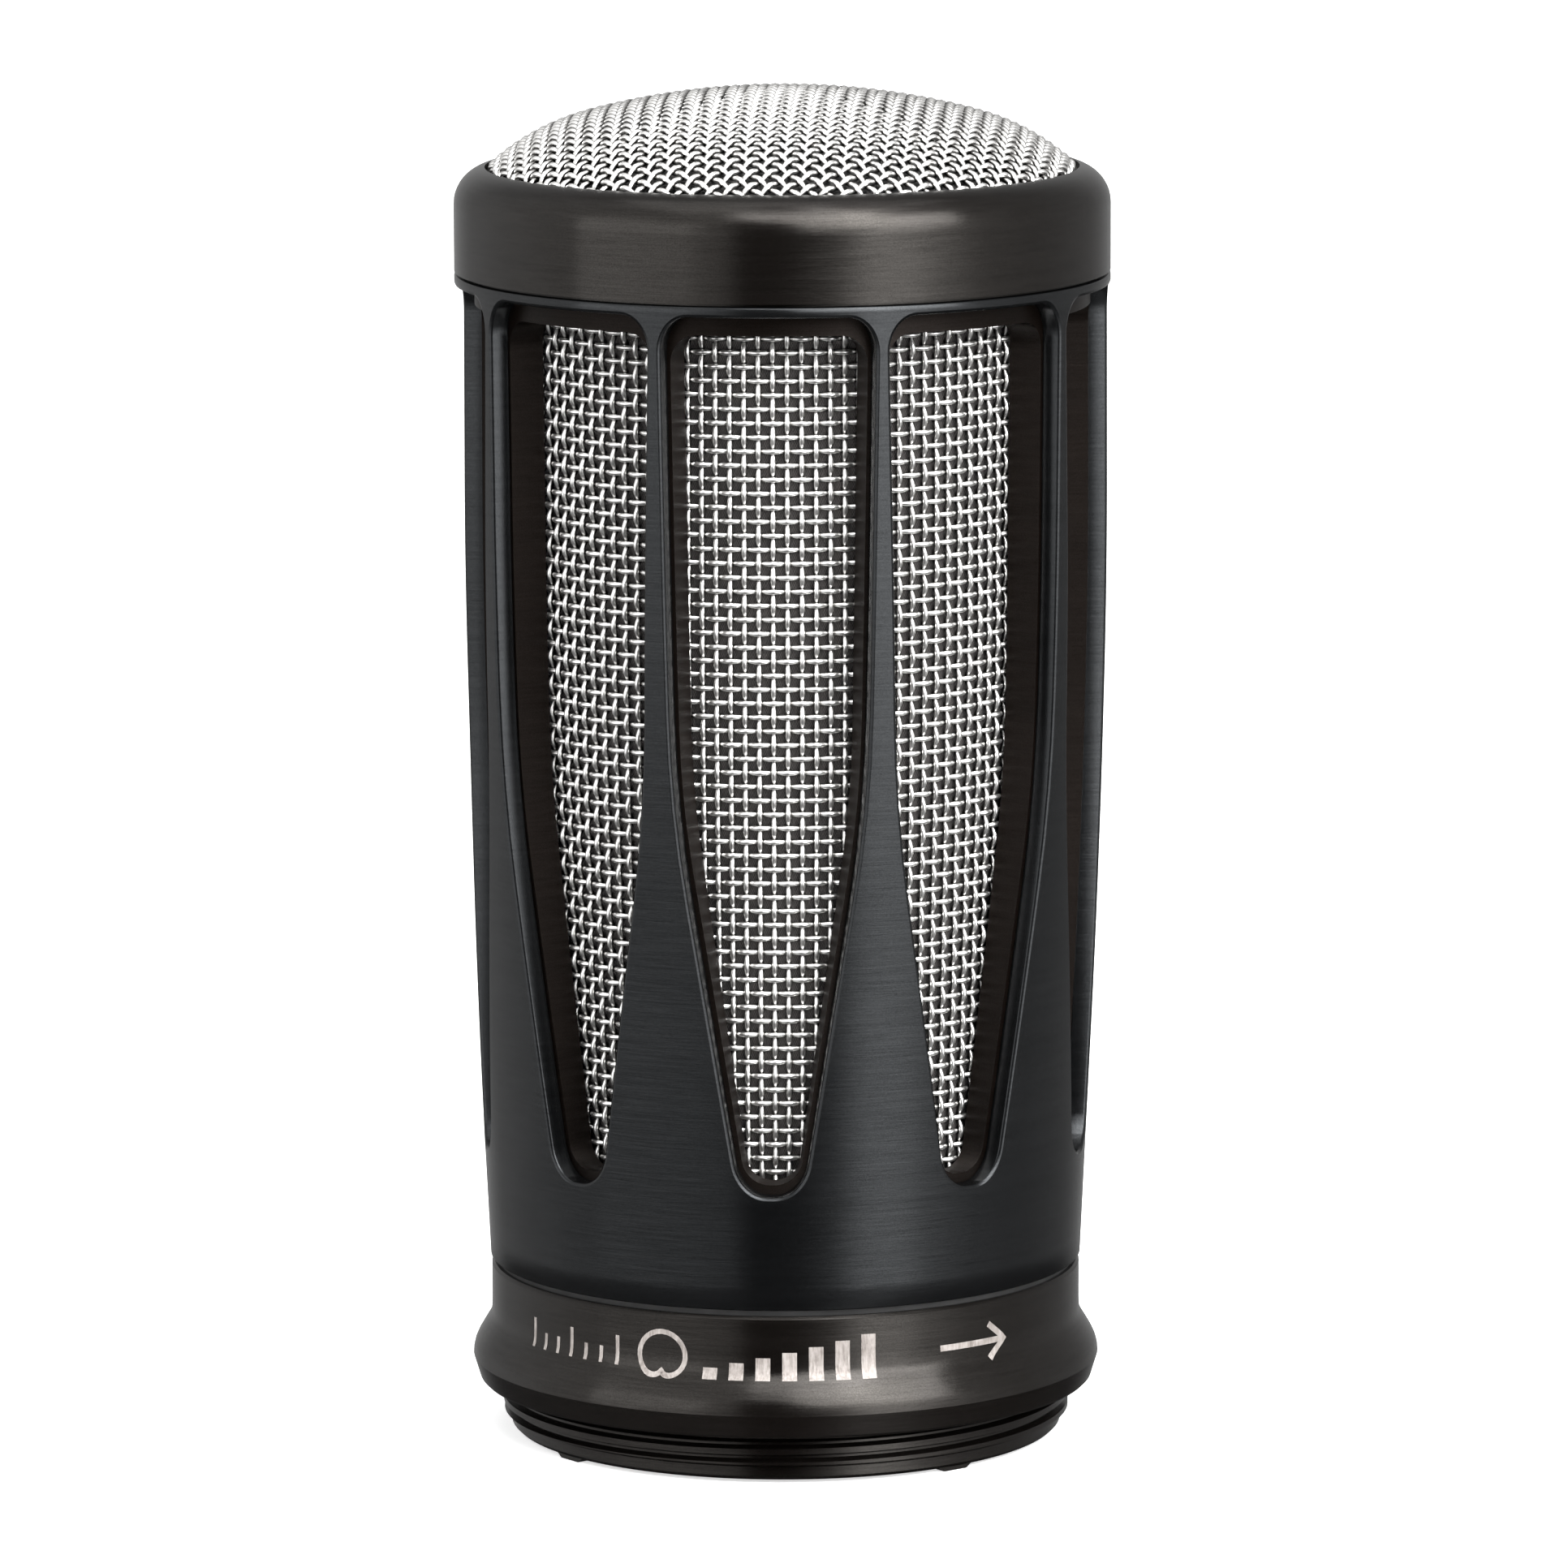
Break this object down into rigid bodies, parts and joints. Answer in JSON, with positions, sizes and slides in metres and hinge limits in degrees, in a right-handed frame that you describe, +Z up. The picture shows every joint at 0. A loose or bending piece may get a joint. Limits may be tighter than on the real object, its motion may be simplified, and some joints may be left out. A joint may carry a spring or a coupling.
{
  "type": "microphone capsule head",
  "caption": "Screw-on condenser capsule head for a hand-held microphone: slotted black cage with woven steel side mesh and dome.",
  "frame": {"origin": "centre of the plane of the four key lugs on which the head stands, on its own axis", "axes": "+Z up the head's axis from the threaded stub to the mesh dome; -Y through the middle of the front window"},
  "size_m": [0.0358, 0.0358, 0.0743],
  "materials": {
    "black_anodised": "satin black anodised, finely turned",
    "brown_anodised": "matt brown-black anodised",
    "bare_aluminium": "machined",
    "steel_wire": "bright woven stainless wire",
    "steel": "satin",
    "gold_plate": "gold plated",
    "brass": "turned",
    "gold_film": "metallised film",
    "circuit_board": "solder resist",
    "black_epoxy": "moulded",
    "film_box": "moulded box",
    "can_sleeve": "shrink sleeve",
    "ceramic_chip": "fired",
    "cradle_plastic": "moulded",
    "ptfe": "machined",
    "rubber": "moulded",
    "lead_red": "extruded",
    "lead_black": "extruded",
    "cloth": "fine open weave",
    "foam": "open cell"
  },
  "bodies": {
    "base": {"base_ring": "black_anodised", "contact_board": "circuit_board", "contact_centre": "gold_plate", "contact_rings": "gold_plate", "board_retainer": "black_anodised", "header_pins": "gold_plate", "chassis": "bare_aluminium", "chassis_screws": "steel", "preamp_board": "circuit_board", "input_transistor": "black_epoxy", "coupling_capacitors": "film_box", "filter_capacitors": "can_sleeve", "resistors": "ceramic_chip", "output_transistors": "black_epoxy", "shock_mount": "rubber", "lead_hot": "lead_red", "lead_ground": "lead_black"},
    "capsule": {"capsule_cradle": "cradle_plastic", "capsule_housing": "brass", "rear_cap": "brass", "terminal_bush": "ptfe", "terminal_pin": "gold_plate", "insulator": "ptfe", "backplate": "brass", "spacer_ring": "ptfe", "diaphragm": "gold_film", "diaphragm_ring": "brass", "capsule_grille": "steel", "clamp_ring": "brass"},
    "seal": {"seal_ring": "rubber"},
    "grille": {"cage": "black_anodised", "mesh_carrier": "brown_anodised", "side_mesh": "steel_wire", "side_liner": "cloth"},
    "dome": {"dome_mesh": "steel_wire", "dome_foam": "foam", "dome_gasket": "rubber"},
    "ring": {"top_ring": "black_anodised"}
  },
  "joints": [
    {"name": "grille_rise", "type": "slide", "parent": "base", "child": "seal", "axis": [0, 0, 1], "range_m": [0, 0.00401]},
    {"name": "grille_turn", "type": "hinge", "parent": "seal", "child": "grille", "pos_m": [0, 0, 0.0098], "axis": [0, 0, 1], "range_deg": [0, 1440]},
    {"name": "dome_rise", "type": "slide", "parent": "grille", "child": "dome", "axis": [0, 0, 1], "range_m": [0, 0.00361]},
    {"name": "ring_turn", "type": "hinge", "parent": "dome", "child": "ring", "pos_m": [0, 0, 0.068], "axis": [0, 0, 1], "range_deg": [0, 1296]},
    {"name": "capsule_float", "type": "slide", "parent": "base", "child": "capsule", "axis": [0, 0, 1], "range_m": [-0.0005, 0.0005], "stiffness_N_per_m": 400, "deforming": ["shock_mount", "lead_hot", "lead_ground"]}
  ],
  "couplings": [
    {"joint": "grille_rise", "follows": "grille_turn", "m_per_rad": 0.00015915},
    {"joint": "dome_rise", "follows": "ring_turn", "m_per_rad": 0.00015915}
  ]
}
